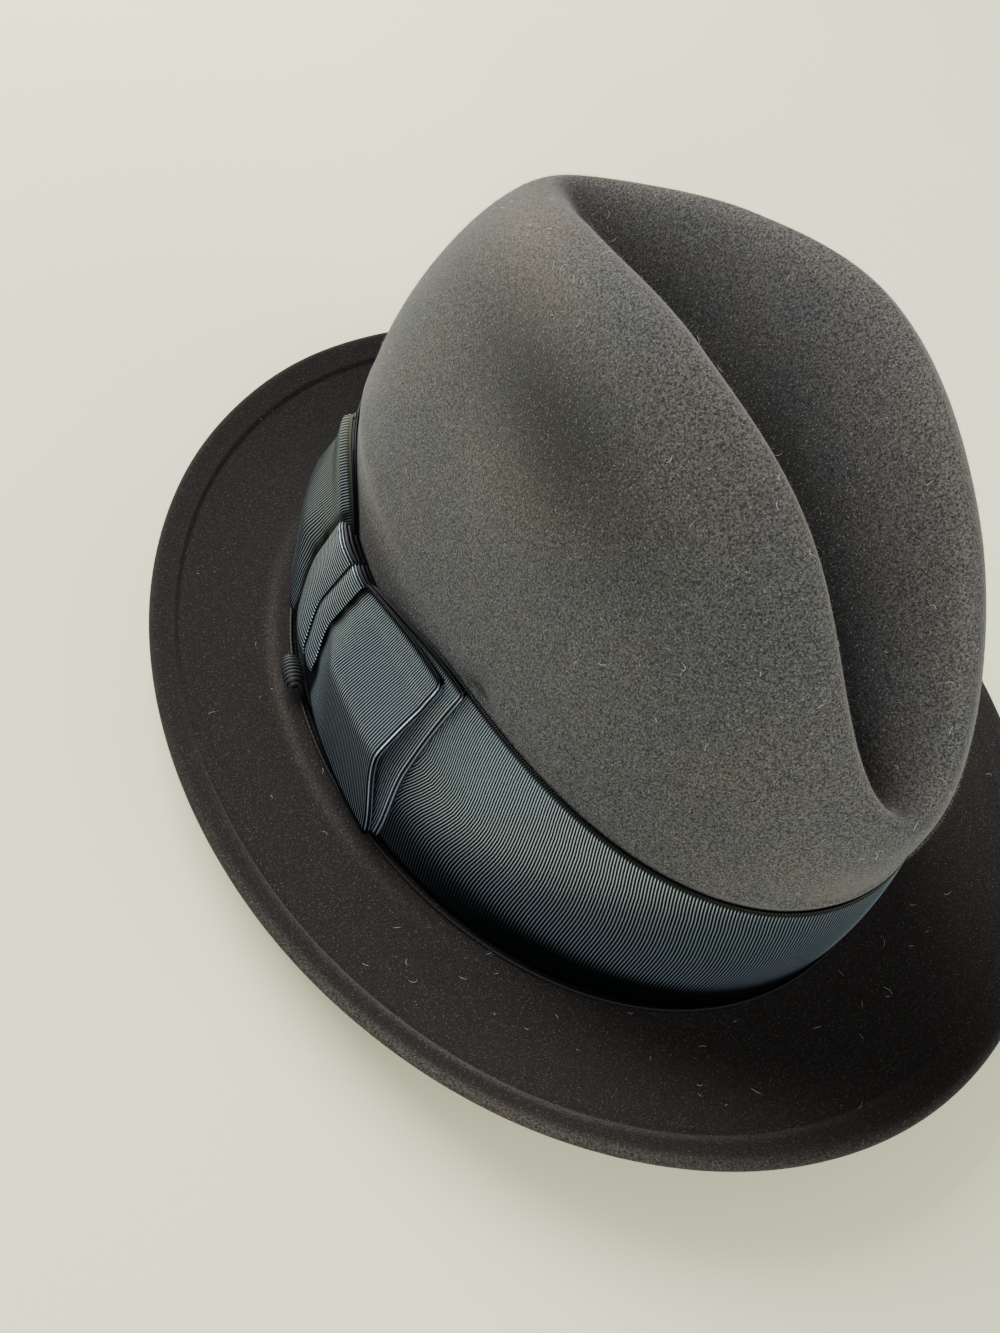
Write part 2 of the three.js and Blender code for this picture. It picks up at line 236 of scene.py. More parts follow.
def along_ridge(row, s):
    """A cubic through five even stations, with s from -1 at the front to 1 at the rear."""
    v = np.array(row)
    v = np.concatenate([[2 * v[0] - v[1]], v, [2 * v[-1] - v[-2]]])
    x = (s + 1) / 2 * (len(row) - 1)
    i = np.clip(np.floor(x).astype(int), 0, len(row) - 2)
    t = x - i
    a, b, c, d = v[i], v[i + 1], v[i + 2], v[i + 3]
    return (2 * b + (c - a) * t + (2 * a - 5 * b + 4 * c - d) * t ** 2
            + (3 * b - a - 3 * c + d) * t ** 3) / 2


def directions(phi):
    """What the hat measures towards phi: 0 is the wearer's left, a quarter turn is the rear."""
    f, r = felt_sizes(), ribbon_sizes()
    c, s = np.cos(phi), np.sin(phi)
    a, b = f.head_width / 2, f.head_length / 2
    out = unit(vectors(c / a, s / b, 0 * c))
    height = f.wall - f.rest_depth + f.side_lift * round_head(FOOT, c, s)
    lean = round_head(LEAN, c, s) * r.band_width
    rise = np.sqrt(r.band_width ** 2 - lean ** 2)
    level = out * [1, 1, 0]
    up = (-level * lean[..., None] + vectors(0 * c, 0 * c, rise)) / r.band_width
    off = (level * rise[..., None] + vectors(0 * c, 0 * c, lean)) / r.band_width
    less = lean * f.straightening
    steep = unit(-level * less[..., None] + vectors(0 * c, 0 * c, np.sqrt(r.band_width ** 2 - less ** 2)))
    return SimpleNamespace(phi=phi, c=c, s=s, out=out, foot=vectors(a * c, b * s, height),
                           up=up, off=off, steep=steep)


def brim_point(d, q):
    """The brim's top: a straight line in plan from the crown, q 0, to the edge, q 1, curling up."""
    f = felt_sizes()
    half = f.head_length / 2 + (REACH[0] + REACH[2]) * f.brim_width / 2
    x = (f.head_width / 2 + REACH[1] * f.brim_width) * d.c
    y = half * d.s - centre_back()
    z = f.wall - f.rest_depth + f.brim_lift * round_head(RISE, d.c, d.s)
    point = d.foot + (vectors(x, y, 0 * x) - d.foot) * np.asarray(q)[..., None]
    point[..., 2] = d.foot[..., 2] + (z - d.foot[..., 2]) * np.asarray(q) ** 1.7
    return point


def band_point(d, height, lift):
    """A point at a share of the band's width up the crown, lifted off the felt."""
    width = ribbon_sizes().band_width
    return d.foot + d.up * (np.asarray(height) * width)[..., None] + d.off * np.asarray(lift)[..., None]


def side_point(y, height, lift):
    """The same on the wearer's left, found by its distance behind the head's middle."""
    return band_point(directions(np.arcsin(y / (felt_sizes().head_length / 2))), height, lift)


def ridge_point(d):
    """The ring of the ridge: an oval whose width and height follow the table of stations."""
    f = felt_sizes()
    x = f.dent_width / 2 * along_ridge(RIDGE_WIDTH, d.s) * d.c
    y = f.crown_back + f.crown_length / 2 * d.s
    return vectors(x, y, f.crown_height * along_ridge(RIDGE_HEIGHT, d.s))


def wall_point(d, t):
    """The wall above the band: a cubic Bezier curve to the ridge, pinched at the sides."""
    f = felt_sizes()
    low, high = band_point(d, np.ones_like(d.c), 0 * d.c), ridge_point(d)
    span = np.linalg.norm(high - low, axis=-1, keepdims=True)
    droop = np.radians(20)
    away = vectors(d.c * np.cos(droop), d.s * np.cos(droop), -np.sin(droop) + 0 * d.c)
    p1 = low + d.steep * span * f.fullness
    p2 = high + away * span * f.shoulder
    t = np.asarray(t)[..., None]
    point = (1 - t) ** 3 * low + 3 * (1 - t) ** 2 * t * p1 + 3 * (1 - t) * t ** 2 * p2 + t ** 3 * high
    turned = np.degrees(np.arctan2(d.s, np.abs(d.c)))
    pinch = hump(turned, -28, 26)[..., None] * np.sin(np.pi * t) ** 2 * f.pinch_depth
    return point - d.out * pinch


def dent_point(d, t):
    """The dent: straight in plan from the ridge, t 0, to the valley, t 1, falling by half a cosine."""
    f = felt_sizes()
    edge = ridge_point(d)
    valley = f.crown_back + 0.82 * f.crown_length / 2 * d.s
    fall = f.dent_depth * along_ridge(DENT_DEPTH, d.s) * (1 - np.cos(np.pi * t)) / 2
    return vectors(edge[..., 0] * (1 - t), edge[..., 1] + (valley - edge[..., 1]) * t, edge[..., 2] - fall)


def smooth_step(x):
    """0 below 0, 1 above 1 and a smooth S between."""
    x = np.clip(x, 0, 1)
    return x * x * (3 - 2 * x)


def hump(x, middle, width):
    """A smooth hump of height 1 at its middle."""
    return np.exp(-((x - middle) / width) ** 2)


def make_piece(name, points, quads, marks=None):
    """A mesh object from an array of points and an array of four corners for each face.
    marks are named values for each point, which the materials read."""
    mesh = bpy.data.meshes.new(name)
    points = np.asarray(points, np.float32).reshape(-1, 3)
    points = points + np.array([0, centre_back(), 0], np.float32)
    quads = np.asarray(quads, np.int32)
    corners = quads.shape[1]
    mesh.vertices.add(len(points))
    mesh.vertices.foreach_set("co", points.ravel())
    mesh.loops.add(quads.size)
    mesh.loops.foreach_set("vertex_index", quads.ravel())
    mesh.polygons.add(len(quads))
    mesh.polygons.foreach_set("loop_start", np.arange(0, quads.size, corners, dtype=np.int32))
    mesh.polygons.foreach_set("loop_total", np.full(len(quads), corners, np.int32))
    mesh.polygons.foreach_set("use_smooth", np.ones(len(quads), bool))
    for key, values in (marks or {}).items():
        layer = mesh.attributes.new(key, "FLOAT", "POINT")
        layer.data.foreach_set("value", np.asarray(values, np.float32).ravel())
    mesh.update(calc_edges=True)
    mesh.validate()
    piece = bpy.data.objects.new(name, mesh)
    bpy.context.scene.collection.objects.link(piece)
    return piece


def grid_quads(rows, columns, wrap, first=0):
    """Faces of a grid of points, closed in a ring along its columns where wrap is true."""
    i, j = np.meshgrid(np.arange(rows - 1), np.arange(columns if wrap else columns - 1), indexing="ij")
    k = (j + 1) % columns
    return np.stack([i * columns + j, i * columns + k, (i + 1) * columns + k, (i + 1) * columns + j],
                    axis=-1).reshape(-1, 4) + first


def grid_normals(points, wrap):
    """Unit normals of a grid: across its columns times across its rows."""
    if wrap:
        across = np.roll(points, -1, 1) - np.roll(points, 1, 1)
    else:
        across = np.gradient(points, axis=1)
    return unit(np.cross(across, np.gradient(points, axis=0)))


def outward(points, quads):
    """The faces turned so that the closed surface holds a positive volume."""
    p = points.reshape(-1, 3)
    a, b, c, d = (p[quads[:, k]] for k in range(4))
    volume = (a * np.cross(b, c)).sum() + (a * np.cross(c, d)).sum()
    return quads if volume > 0 else quads[:, ::-1]


def finish_piece(piece, material, slot, *nodes):
    """Gives a piece its material and its place in the frame."""
    piece.data.materials.append(material)
    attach(piece, "root")
    if nodes:
        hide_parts(*nodes)


# Felt

def felt_outer(phi):
    """The felt's outer face as rows of rings from the brim's edge to the valley.
    Its marks say where it wears pale and where a highlight is painted, where shade is painted and where it is
    brim."""
    f = felt_sizes()
    d = directions(phi)
    turned = np.degrees(np.arctan2(d.s, np.abs(d.c)))
    welt = f.welt_width / f.brim_width
    stitches = 1 - welt * 1.2
    inner_brim = 0.06
    q = np.concatenate([np.linspace(1, 1 - welt, EDGE_ROWS, endpoint=False),
                        np.linspace(1 - welt, 1 - welt * 1.25, STEP_ROWS, endpoint=False),
                        np.linspace(1 - welt * 1.25, inner_brim, BRIM_ROWS, endpoint=False),
                        np.linspace(inner_brim, 0, FOOT_ROWS)])
    rows, wear_and_highlight, painted_shade = [], [], []
    near = hump(phi, 0.75, 0.55)
    for k in q:
        from_edge = (1 - k) * f.brim_width
        from_crown = k * f.brim_width
        point = brim_point(d, k + 0 * d.c)
        fold = smooth_step((k - stitches) / (welt * 0.22))
        seam = hump(k, stitches, welt * 0.1)
        ripple = 0.22 * MM * np.sin(9 * phi + 1.7) * np.sin(5 * phi) * k
        point[..., 2] += f.welt_step * fold - 0.2 * MM * seam + ripple
        rows.append(point)
        # Wear at the brim's edge and the welt's fold, strongest at the near left, and a pale ring on the
        # brim's left near the crown.
        pale_share = hump(from_edge, 0, 1.3 * MM) + 0.8 * hump(from_edge, f.welt_width, 0.9 * MM)
        ring = 0.35 * hump(from_crown, 8.5 * MM, 1.8 * MM) * hump(phi, -0.2, 0.6)
        wear_and_highlight.append(0.5 * pale_share * (0.1 + 0.9 * near) + ring + 0 * d.c)
        # Painted shade at the brim's foot against the crown and, at 0.35, along the welt's stitch line.
        painted_shade.append(hump(from_crown, 0, 3 * MM) + 0.35 * seam + 0 * d.c)
    for k in np.linspace(0, 1, BAND_ROWS + 1)[1:]:
        rows.append(band_point(d, k + 0 * d.c, 0 * d.c))
        wear_and_highlight.append(0 * d.c)
        # Painted shade under the band, fading over the band's top tenth.
        painted_shade.append(1 - smooth_step((k - 0.9) * 8) + 0 * d.c)
    for k in np.linspace(0, 1, WALL_ROWS + 1)[1:]:
        point = wall_point(d, k + 0 * d.c)
        over_band = 0.7 * MM * hump(k, 0.055, 0.035)
        dimple = -1.2 * MM * hump(k, 0.015, 0.03) * hump(point[..., 1], 19 * MM, 5 * MM) * (d.c > 0)
        soft = 0.35 * MM * np.sin(4 * phi + 2.1 + 3 * k) * np.sin(np.pi * k) ** 2
        rows.append(point + d.out * (over_band + dimple + soft)[..., None])
        # A painted highlight on the front-left flank under the ridge and on the ridge's crest; the sine term
        # is an uneven tone of the felt.
        lit_flank = 0.7 * hump(turned, -48, 30) * hump(k, 0.84, 0.16)
        uneven = 0.1 * np.sin(2 * phi + 5 * k) * np.sin(np.pi * k)
        wear_and_highlight.append(0.45 * smooth_step((k - 0.9) * 9) + lit_flank + uneven)
        # Painted shade just over the band's top edge, in the side pinch and in the dimple by the bow's
        # corner.
        pinch = 1.25 * hump(turned, -9, 27) * hump(k, 0.56, 0.17)
        painted_shade.append(hump(k, 0, 0.012) + pinch - 0.9 * dimple / MM)
    for k in np.linspace(0, 1, DENT_ROWS + 1)[1:]:
        rows.append(dent_point(d, k + 0 * d.c))
        # A painted highlight on the ridge's crest.
        wear_and_highlight.append(0.55 * (1 - smooth_step(k * 3.5)) + 0 * d.c)
        # Painted shade falling down into the valley.
        painted_shade.append(1.25 * smooth_step(k * 1.6 - 0.35) * np.abs(d.c) ** 0.3)
    brim = np.ones_like(wear_and_highlight) * (np.arange(len(rows)) < len(q))[:, None]
    return d, np.array(rows), {"wear_and_highlight": np.array(wear_and_highlight), "painted_shade": np.array(painted_shade), "brim": brim}


def felt_shell():
    """Crown and brim as one closed wall: outer face, rounded edge, inner face back to the valley."""
    f = felt_sizes()
    columns = f.columns
    phi = 2 * np.pi * np.arange(columns) / columns - np.pi / 2
    d, outer, outer_marks = felt_outer(phi)
    facing = grid_normals(outer, True)
    facing[-1] = [0, 0, 1]
    keep = np.unique(np.concatenate([np.arange(0, len(outer), 2), [len(outer) - 1]]))
    inner = (outer - facing * f.wall)[keep]
    inner[..., 2] = np.maximum(inner[..., 2], 0)
    top, low = outer[0], inner[0]
    middle, half = (top + low) / 2, (top[..., 2] - low[..., 2]) / 2
    turns = np.linspace(np.pi / 2, -np.pi / 2, 11)[1:-1]
    edge = np.array([middle + d.out * (f.wall / 2 * np.cos(a)) + vectors(0 * d.c, 0 * d.c, half * np.sin(a))
                     for a in turns])
    rows = np.concatenate([outer[::-1], edge, inner])
    # The inner face has no wear or highlight, a painted shade of 0.35 and half the brim's darker tone.
    inside = {"wear_and_highlight": 0 * outer_marks["wear_and_highlight"][keep],
              "painted_shade": 0.35 + 0 * outer_marks["painted_shade"][keep],
              "brim": 0.5 * outer_marks["brim"][keep]}
    marks = {}
    for key, value in outer_marks.items():
        marks[key] = np.concatenate([value[::-1], np.repeat(value[:1], len(edge), 0), inside[key]])
    # The two sides of the valley share their points, so the wall closes there
    count = len(rows)
    index = np.arange(count * columns).reshape(count, columns)
    mirror = (columns - np.arange(columns)) % columns
    for row in (0, count - 1):
        index[row] = np.where(np.arange(columns) > columns // 2, index[row][mirror], index[row])
    quads = index.reshape(-1)[grid_quads(count, columns, True)]
    used, quads = np.unique(quads, return_inverse=True)
    quads = quads.reshape(-1, 4)
    points = rows.reshape(-1, 3)[used]
    marks = {key: value.reshape(-1)[used] for key, value in marks.items()}
    return points, outward(points, quads), marks


class HAT_OT_felt(bpy.types.Operator):
    """Makes the felt crown and brim"""
    bl_idname = "hat.felt"
    bl_label = "Felt"

    def execute(self, context):
        finish_piece(make_piece("felt_hat", *felt_shell()), felt_material(), "felt", "felt_body")
        return {"FINISHED"}


# Ribbon

def rib_profile(turns):
    """Height of a row of ribs, one for each turn: round crests with narrow grooves."""
    return np.abs(np.sin(np.pi * turns))


def flat_edges(across):
    """Share of the ribs' height left across the ribbon, whose woven edges are flatter."""
    return 1 - 0.8 * smooth_step((np.abs(across - 0.5) - 0.475) / 0.025)


def walled(points, lift, wall, wrap, back_step=1):
    """A closed wall from a sheet: its front raised by lift, its back half a wall behind, joined round.
    A sheet that closes in a ring may keep only every back_step-th row of its back."""
    facing = grid_normals(points, wrap)
    front = points + facing * (wall / 2 + lift)[..., None]
    back = (points - facing * wall / 2)[::back_step]
    rows, columns = points.shape[:2]
    total = rows * columns
    ahead = np.arange(total).reshape(rows, columns)
    behind = total + np.arange(len(back) * columns).reshape(len(back), columns)
    quads = [grid_quads(rows, columns, wrap), grid_quads(len(back), columns, wrap, total)[:, ::-1]]
    j = np.arange(columns if wrap else columns - 1)
    k = (j + 1) % columns
    for row, flip in ((0, 1), (-1, -1)):
        side = np.stack([ahead[row, k], ahead[row, j], behind[row, j], behind[row, k]], -1)
        quads.append(side[:, ::flip])
    if not wrap:
        i = np.arange(rows - 1)
        for column, flip in ((0, 1), (-1, -1)):
            side = np.stack([ahead[i, column], ahead[i + 1, column],
                             behind[i + 1, column], behind[i, column]], -1)
            quads.append(side[:, ::flip])
    return np.concatenate([front.reshape(-1, 3), back.reshape(-1, 3)]), np.concatenate(quads)


def even_turn(count):
    """Angles round the band's foot at even steps of length."""
    phi = np.linspace(-np.pi, np.pi, 4001)
    step = np.linalg.norm(np.diff(directions(phi).foot, axis=0), axis=1)
    length = np.concatenate([[0], np.cumsum(step)])
    return np.interp(np.linspace(0, length[-1], count, endpoint=False), length, phi), length[-1]


def ribbon_top(d):
    """Share of the band's width up to which the ribbon reaches: its top edge dips at the knot."""
    r = ribbon_sizes()
    away = felt_sizes().head_length / 2 * d.s - r.bow_place
    spread = np.where(away > 0, 1.36 * r.waist_spread, r.waist_spread)
    return 1 - np.where(d.c > 0, r.waist_depth / r.band_width * hump(away, 0, spread), 0)


def thickness():
    """Thickness of the ribbon with its ribs."""
    r = ribbon_sizes()
    return r.wall + r.rib_height


def band_front():
    """Lift of the band's face over the felt."""
    return ribbon_sizes().clearance + thickness()


def band_sheet():
    """The ribbon's middle round the crown, its foot first, and the height of its ribs.
    The ribs lean and wave near the bow, and on the lower third the ribs and their painted crests are lowered,
    a painted shade and reflection of the dark brim."""
    r = ribbon_sizes()
    half_head = felt_sizes().head_length / 2
    _, length = even_turn(2)
    ribs = int(round(length / r.rib_pitch))
    phi, _ = even_turn(ribs * RIB_FACETS)
    k = np.array(BAND_STATIONS)[:, None]
    y = half_head * np.sin(phi)[None, :]
    left = (np.cos(phi) > -0.3)[None, :]
    near_bow = np.where(left, hump(y, 24 * MM, 26 * MM), 0) + 0.25
    wave = -3.2 * np.sin(np.pi * k) * np.sin(2 * np.pi * (1.15 * k + 0.1)) - 0.5 * np.sin(np.pi * k)
    bend = near_bow * wave - 1.5 * smooth_step((k - 0.8) / 0.2) + 0.3 * np.sin(7 * k + 3 * phi + 1.0)
    d = directions(phi[None, :] + bend * MM / half_head)
    foot = r.band_foot / r.band_width
    height = foot + (ribbon_top(d) - foot) * k
    clear_of_bow = np.where(left, smooth_step((np.abs(y + 31 * MM) - 52 * MM) / (20 * MM)), 1)
    bulge = (0.2 + 1.3 * clear_of_bow) * MM * np.sin(np.pi * k) ** 0.8
    points = band_point(d, height, r.clearance + r.wall / 2 + bulge + 0 * height)
    ribs_up = rib_profile(np.arange(len(phi)) / RIB_FACETS)[None, :]
    shade = 0.15 + 0.2 * hump(phi[None, :], 1.1, 0.7)
    shaded = 1 - shade * (1 - smooth_step((k - 0.1) / 0.32))
    return points, ribs_up * flat_edges(k) * shaded


class HAT_OT_band(bpy.types.Operator):
    """Makes the ribbed ribbon round the crown"""
    bl_idname = "hat.band"
    bl_label = "Band"

    def execute(self, context):
        r = ribbon_sizes()
        points, crest = band_sheet()
        vertices, quads = walled(points, crest * r.rib_height, r.wall, True, back_step=8)
        marks = {"rib": np.concatenate([crest.ravel(), np.zeros(len(vertices) - crest.size)])}
        piece = make_piece("ribbon_round_crown", vertices, outward(vertices, quads), marks)
        finish_piece(piece, ribbon_material(), "ribbon", "ribbon_band")
        return {"FINISHED"}


# Bow

def knot_middle(height):
    """Where the knot's middle lies: straight in its upper half, slanting back towards the foot."""
    r = ribbon_sizes()
    return r.bow_place + r.knot_slant * (1 - smooth_step((height - 0.05) / 0.45))


def loop_opening(t, side):
    """Gap inside a loop: pressed flat at the knot and open towards the fold."""
    return 0.12 * MM + ribbon_sizes().loop_gap * (1 if side > 0 else 0.35) * t ** 2


def wing_sheet(side, layer, reach, knot, tip):
    """The ribbon's middle along one loop: out over the band, round the fold and back over itself.
    Its inner half, which nobody sees, has no ribs."""
    r = ribbon_sizes()
    span = r.bow_length * reach
    tip_radius = (loop_opening(1.0, side) + thickness()) / 2
    length = 2 * span + np.pi * tip_radius
    count = int(round(length / r.rib_pitch)) * RIB_FACETS
    station = np.arange(count + 1)
    covered = 0.85 * span
    seen = station * length / count > covered
    station = station[seen | (station % RIB_FACETS == 0)]
    walk = station * length / count
    turn = np.clip((walk - span) / tip_radius, 0, np.pi)[:, None]
    t = np.clip(np.where(walk < span, walk, length - walk) / span, 0, 1)[:, None]
    across = np.concatenate([[0, 0.005, 0.016], np.linspace(0.04, 0.96, 24), [0.984, 0.995, 1]])[None, :]
    low = knot[0] + (tip[0] - knot[0]) * t ** 0.55
    high = knot[1] + (tip[1] - knot[1]) * (1 - (1 - t) ** 1.8)
    height = low + (high - low) * across
    gap = 0.1 * MM
    start = knot_middle(height) + side * gap
    flare = (9 if layer else 4.5) * MM * (1 - smooth_step(height / 0.45))
    corner = 2.4 * MM * np.clip((across - 0.93) / 0.07, 0, 1) ** 2 * (1 if layer else 0.4)
    end = r.bow_place + side * (span - tip_radius - corner) + flare * (1 if side > 0 else -0.2)
    end = end + side * 0.5 * MM * np.sin(2 * np.pi * height)
    along = start + (end - start) * t + side * tip_radius * np.sin(turn)
    free = np.clip((np.abs(along - knot_middle(height)) - r.knot_width / 2) / span, 0, 1)
    below = height < r.crease_place
    tent = np.clip(1 - np.abs(height - r.crease_place) / np.where(below, 0.42, 0.3), 0, 1)
    crease = r.crease_rise * layer * (1 - np.sqrt((1 - tent) ** 2 + 0.004)) * smooth_step(free * 3.5)
    pucker = 0.35 * MM * np.sin(9 * np.pi * across) * np.exp(-free * 14) * layer
    base = band_front() + gap + layer * (2 * thickness() + loop_opening(t, side) + gap)
    lift = base + thickness() / 2 + (loop_opening(t, side) + thickness()) / 2 * (1 - np.cos(turn))
    pressed = 1 - (0.56 if side < 0 else 0.2) * smooth_step((height - high + 0.09) / 0.09)
    ribs = rib_profile(station / RIB_FACETS)[:, None] + 0 * height
    # Painted shade on the upper wings below the crease, on the front wings, and beside the knot's edges where
    # the knot's shadow falls.
    under = layer * smooth_step((r.crease_place - height) / 0.04) * smooth_step(free * 3)
    wing_shade = 0.13 * under + (0.11 if side < 0 else 0) * (1 - under)
    wing_shade = wing_shade + 0.34 * hump(free * span, 0, 2.4 * MM)
    return side_point(along, height, (lift + crease + pucker) * pressed), ribs * (1 - wing_shade), across


class HAT_OT_bow(bpy.types.Operator):
    """Makes the four wings of the bow and its pleated knot"""
    bl_idname = "hat.bow"
    bl_label = "Bow"

    def execute(self, context):
        r = ribbon_sizes()
        material = ribbon_material()
        for node, (side, layer, reach, knot, tip) in WINGS.items():
            points, ribs, across = wing_sheet(side, layer, reach, knot, tip)
            if side < 0:
                points, ribs = points[::-1], ribs[::-1]
            crest = ribs * flat_edges(across)
            vertices, quads = walled(points, crest * r.rib_height, r.wall, False)
            marks = {"rib": np.concatenate([crest.ravel(), 0.4 * crest.ravel()])}
            piece = make_piece("ribbon_" + node[4:], vertices, outward(vertices, quads), marks)
            finish_piece(piece, material, "ribbon", node)
        finish_piece(make_piece("ribbon_knot", *knot_strips()), material, "ribbon", "bow_knot")
        return {"FINISHED"}


def knot_strips():
    """The knot's pleats: strips that run up over the wings and bend over their top edge to the felt."""
    r = ribbon_sizes()
    rise = (r.knot_top - r.knot_foot) * r.band_width
    fold = 4.4 * MM
    length = rise + fold
    count = int(round(length / r.rib_pitch)) * RIB_FACETS
    walk = np.linspace(0, length, count + 1)[:, None]
    across = np.linspace(0, 1, 15)[None, :]
    t = np.clip(walk / rise, 0, 1)
    turn = np.clip((walk - rise) / fold, 0, 1) * np.pi / 2
    height = r.knot_foot + (r.knot_top - r.knot_foot) * t + 1.7 * MM * np.sin(turn) / r.band_width
    tuck = smooth_step(t / 0.2)
    over_wings = band_front() + 4 * thickness() + 0.9 * MM
    half = r.knot_width / 2 * (0.55 + 0.45 * smooth_step((height - 0.02) / 0.3))
    felt_gap = 0.35 * MM
    ribs = rib_profile(np.arange(count + 1) / RIB_FACETS)[:, None] + 0 * across
    # Painted shade on the crests where the pleats bend over the top edge.
    crest = ribs * (1 - 0.3 * np.sin(turn))
    all_points, all_quads = [], []
    first = 0
    for front, rear, step, belly in PLEATS:
        along = knot_middle(height) + half * (front + (rear - front) * across)
        bulge = belly * MM * np.sin(np.pi * across) ** 0.8 - 0.9 * MM * (1 - across) ** 3
        raised = (over_wings + step * MM + bulge) * (0.2 + 0.8 * tuck)
        lift = felt_gap + (raised - felt_gap) * np.cos(turn)
        points = side_point(along, height + 0 * along, lift)
        vertices, quads = walled(points, ribs * r.rib_height, r.wall * 0.8, False)
        all_points.append(vertices)
        all_quads.append(outward(vertices, quads) + first)
        first += len(vertices)
    marks = {"rib": np.tile(crest.ravel(), 2 * len(PLEATS))}
    return np.concatenate(all_points), np.concatenate(all_quads), marks


# Cord

def cord_middle(phi, away):
    """Where something of that radius lies round the band's foot."""
    gap = 0.15 * MM
    d = directions(phi)
    point = d.foot + d.out * (band_front() + gap + away)
    point[..., 2] = d.foot[..., 2] + gap + away
    return point, d


def cap_quads(points, sides):
    """Faces of four corners across the first and the last ring of a tube, drawn in to a dot.
    They are wound against the tube's side, and an odd number of sides leaves a triangle open."""
    caps = []
    for first, flip in ((0, 1), ((len(points) - 1) * sides, -1)):
        for k in range(0, (sides - 2) // 2 + (sides % 2)):
            corners = [k, k + 1, sides - 2 - k, sides - 1 - k]
            if len(set(corners)) < 4:
                continue
            caps.append([first + c for c in corners][::flip])
    return np.array(caps)


def tube(path, out, radius, sides):
    """A closed tube along a path: a ring of the given radii about each point, drawn in at both ends."""
    ahead = unit(np.gradient(path, axis=0))
    side = unit(np.cross(ahead, np.cross(out, ahead)))
    up = np.cross(side, ahead)
    a = 2 * np.pi * np.arange(sides) / sides
    ring = side[:, None] * np.cos(a)[None, :, None] + up[:, None] * np.sin(a)[None, :, None]
    points = path[:, None] + ring * radius[..., None]
    tips = np.repeat(path[[0, -1], None], sides, 1)
    points = np.concatenate([tips[:1] + (points[:1] - tips[:1]) * 1e-2, points,
                             tips[1:] + (points[-1:] - tips[1:]) * 1e-2])
    quads = np.concatenate([grid_quads(len(points), sides, True), cap_quads(points, sides)])
    return points, outward(points.reshape(-1, 3), quads)


def cord_tube():
    """The cord from one end of its button round the hat to the other, with its twist."""
    r = ribbon_sizes()
    half_head = felt_sizes().head_length / 2
    half_turn = (r.button_length / 2 + r.clearance) / half_head
    middle = np.arcsin(r.button_place / half_head)
    phi = np.linspace(middle + half_turn, middle + 2 * np.pi - half_turn, 2200)
    path, d = cord_middle(phi, r.cord_diameter / 2)
    sides = 9
    lay = 1.6 * MM
    a = 2 * np.pi * np.arange(sides) / sides
    walk = phi[:, None] * half_head
    twist = 0.86 + 0.14 * np.cos(3 * a[None, :] + 2 * np.pi * walk / lay)
    points, quads = tube(path, d.out, r.cord_diameter / 2 * twist, sides)
    return points, quads, {"rib": np.repeat(0.6, points.size // 3)}


def button_tube():
    """The button: an olive with ribs across it, pushed a little into the band and up its foot."""
    r = ribbon_sizes()
    middle = np.arcsin(r.button_place / (felt_sizes().head_length / 2))
    rib_pitch = 1.1 * MM
    rib_depth = 0.3 * MM
    pushed_in = 1.1 * MM
    pushed_up = 2.2 * MM
    x = np.linspace(-1, 1, 91)
    ribs = rib_profile((x + 1) * r.button_length / 2 / rib_pitch)
    body = np.sqrt(np.clip(1 - np.abs(x) ** 2.6, 0, 1))
    centre, d = cord_middle(np.array([middle]), r.button_diameter / 2)
    centre = centre - d.out * pushed_in + vectors(0, 0, pushed_up)
    ahead = unit(np.array([-d.out[0, 1], d.out[0, 0], 0]))
    path = centre + ahead[None, :] * (x * r.button_length / 2)[:, None]
    sides = 32
    radius = body * (r.button_diameter / 2 - rib_depth + rib_depth * ribs) + 0.02 * MM
    points, quads = tube(path, np.repeat(d.out, len(path), 0), np.repeat(radius[:, None], sides, 1), sides)
    return points, quads, {"rib": np.repeat(np.concatenate([[0], ribs, [0]]), sides)}


class HAT_OT_cord(bpy.types.Operator):
    """Makes the twisted cord round the band's foot and its ribbed button"""
    bl_idname = "hat.cord"
    bl_label = "Cord"

    def execute(self, context):
        finish_piece(make_piece("twisted_cord", *cord_tube()), cord_material(), "cord", "wind_cord")
        finish_piece(make_piece("ribbed_button", *button_tube()), cord_material(), "cord", "cord_button")
        return {"FINISHED"}


# Loose fibres

def scatter(rng, count):
    """Places on the felt's top, drawn at random: a point, its normal and the way round the hat.
    The first share of them lies on the brim, the next on the wall and the rest in the dent."""
    to_brim, to_wall = 0.38, 0.82
    phi = rng.uniform(-np.pi, np.pi, count)
    zone = rng.uniform(0, 1, count)
    t = rng.uniform(0, 1, count)
    step = 1e-3

    def place(p, u):
        d = directions(p)
        on_brim = brim_point(d, 0.04 + 0.95 * u)
        on_wall = wall_point(d, 0.05 + 0.95 * u)
        on_crown = np.where((zone < to_wall)[:, None], on_wall, dent_point(d, u))
        return np.where((zone < to_brim)[:, None], on_brim, on_crown)

    at = place(phi, t)
    around = place(phi + step, t) - at
    upward = place(phi, t + step) - at
    normal = unit(np.cross(around, upward)) * np.where(zone < to_brim, -1, 1)[:, None]
    return at, normal, unit(around)


